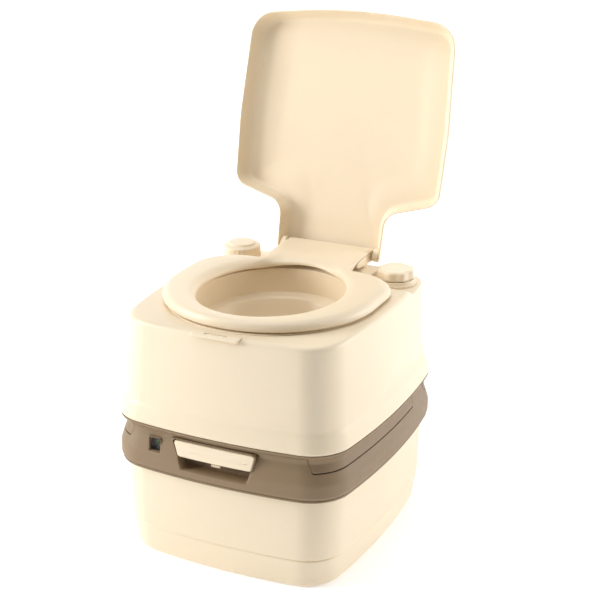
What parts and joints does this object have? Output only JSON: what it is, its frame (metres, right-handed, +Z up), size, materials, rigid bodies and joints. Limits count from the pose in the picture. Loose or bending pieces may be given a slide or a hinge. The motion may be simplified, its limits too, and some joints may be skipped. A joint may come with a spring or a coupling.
{
  "type": "cassette toilet",
  "caption": "Portable cassette toilet: flush-water section with bowl, hinged seat and lid, on a lift-off waste tank with slide valve, level window and swivelling pour-out spout.",
  "frame": {"origin": "middle of the waste tank's flat underside, where the toilet stands on the floor", "axes": "+Z up, -Y towards the front where the user's legs are, +X to the right as seen from the front; stored with the seat down and the lid open"},
  "size_m": [0.383, 0.489, 0.7484],
  "materials": {
    "cream_plastic": "fine moulded satin",
    "inner_plastic": "moulded satin",
    "band_plastic": "moulded satin, warm grey-brown",
    "black_rubber": "matt",
    "green_plastic": "glossy",
    "clear_plastic": "clear, polished",
    "steel": "bright, drawn"
  },
  "bodies": {
    "waste_section": {"waste_tank": "cream_plastic", "tank_top": "band_plastic", "valve_housing": "inner_plastic", "valve_lip_seal": "black_rubber", "valve_rod_seal": "black_rubber", "level_window": "clear_plastic", "float_pin": "steel", "rear_latch_pin": "steel", "spout_seal": "black_rubber", "vent_spring": "steel"},
    "flush_section": {"upper_casing": "cream_plastic", "upper_collar": "band_plastic", "flush_tank_floor": "inner_plastic", "bowl": "cream_plastic", "deck_ring": "cream_plastic", "flush_nozzle": "inner_plastic", "flush_hose": "black_rubber", "fill_neck": "cream_plastic", "pump_barrel": "inner_plastic", "pump_collar": "cream_plastic", "pump_foot_valve": "black_rubber", "front_catch": "cream_plastic", "hinge_bracket_left": "inner_plastic", "hinge_bracket_right": "inner_plastic", "hinge_pin_left": "steel", "hinge_pin_right": "steel"},
    "seat_body": {"seat": "cream_plastic", "seat_buffer_1": "black_rubber", "seat_buffer_2": "black_rubber", "seat_buffer_3": "black_rubber", "seat_buffer_4": "black_rubber"},
    "lid_body": {"lid": "cream_plastic"},
    "gasket_body": {"cap_gasket": "black_rubber"},
    "fill_cap_body": {"fill_cap": "cream_plastic"},
    "pump_body": {"pump_knob": "cream_plastic", "pump_rod": "steel", "pump_piston": "inner_plastic", "piston_seal": "black_rubber"},
    "valve_body": {"valve_blade": "inner_plastic", "valve_rod": "inner_plastic", "valve_handle": "cream_plastic"},
    "vent_body": {"vent_button": "cream_plastic", "vent_seal": "black_rubber"},
    "level_body": {"level_float": "black_rubber", "level_flag": "green_plastic"},
    "spout_body": {"pour_spout": "inner_plastic"},
    "spout_cap_body": {"spout_cap": "inner_plastic"},
    "latch_body": {"rear_latch": "inner_plastic"}
  },
  "joints": [
    {"name": "flush_section_lift", "type": "slide", "parent": "waste_section", "child": "flush_section", "axis": [0, 0, 1], "range_m": [0, 0.06]},
    {"name": "lid_hinge", "type": "hinge", "parent": "flush_section", "child": "lid_body", "pos_m": [0, 0.17527, 0.38199], "axis": [-1, 0, 0], "range_deg": [-104.5, 0]},
    {"name": "seat_hinge", "type": "hinge", "parent": "flush_section", "child": "seat_body", "pos_m": [0, 0.17527, 0.38199], "axis": [-1, 0, 0], "range_deg": [0, 92]},
    {"name": "cap_rise", "type": "slide", "parent": "flush_section", "child": "gasket_body", "axis": [0, -0.0262, 0.9997], "range_m": [0, 0.0062]},
    {"name": "cap_turn", "type": "hinge", "parent": "gasket_body", "child": "fill_cap_body", "pos_m": [-0.137, 0.13927, 0.35884], "axis": [0, -0.0262, 0.9997], "range_deg": [0, 540]},
    {"name": "pump_stroke", "type": "slide", "parent": "flush_section", "child": "pump_body", "axis": [0, -0.0262, 0.9997], "range_m": [0, 0.045]},
    {"name": "valve_slide", "type": "slide", "parent": "waste_section", "child": "valve_body", "axis": [0, -1, 0], "range_m": [0, 0.105]},
    {"name": "vent_press", "type": "slide", "parent": "waste_section", "child": "vent_body", "axis": [0, 0, -1], "range_m": [0, 0.0035], "stiffness_N_per_m": 600, "springref_m": -0.002, "deforming": ["vent_spring"]},
    {"name": "level_float_swing", "type": "hinge", "parent": "waste_section", "child": "level_body", "pos_m": [-0.0975, -0.176, 0.164], "axis": [1, 0, 0], "range_deg": [0, 15]},
    {"name": "spout_swivel", "type": "hinge", "parent": "waste_section", "child": "spout_body", "pos_m": [-0.128, 0.168, 0.17], "axis": [0, 0, 1], "range_deg": [0, 90]},
    {"name": "spout_cap_turn", "type": "hinge", "parent": "spout_body", "child": "spout_cap_body", "pos_m": [-0.02, 0.168, 0.183], "axis": [1, 0, 0], "range_deg": [0, 90]},
    {"name": "rear_latch_swing", "type": "hinge", "parent": "waste_section", "child": "latch_body", "pos_m": [0.08, 0.209, 0.163], "axis": [1, 0, 0], "range_deg": [0, 25]}
  ],
  "couplings": [
    {"joint": "cap_rise", "follows": "cap_turn", "m_per_rad": 0.00063662}
  ]
}
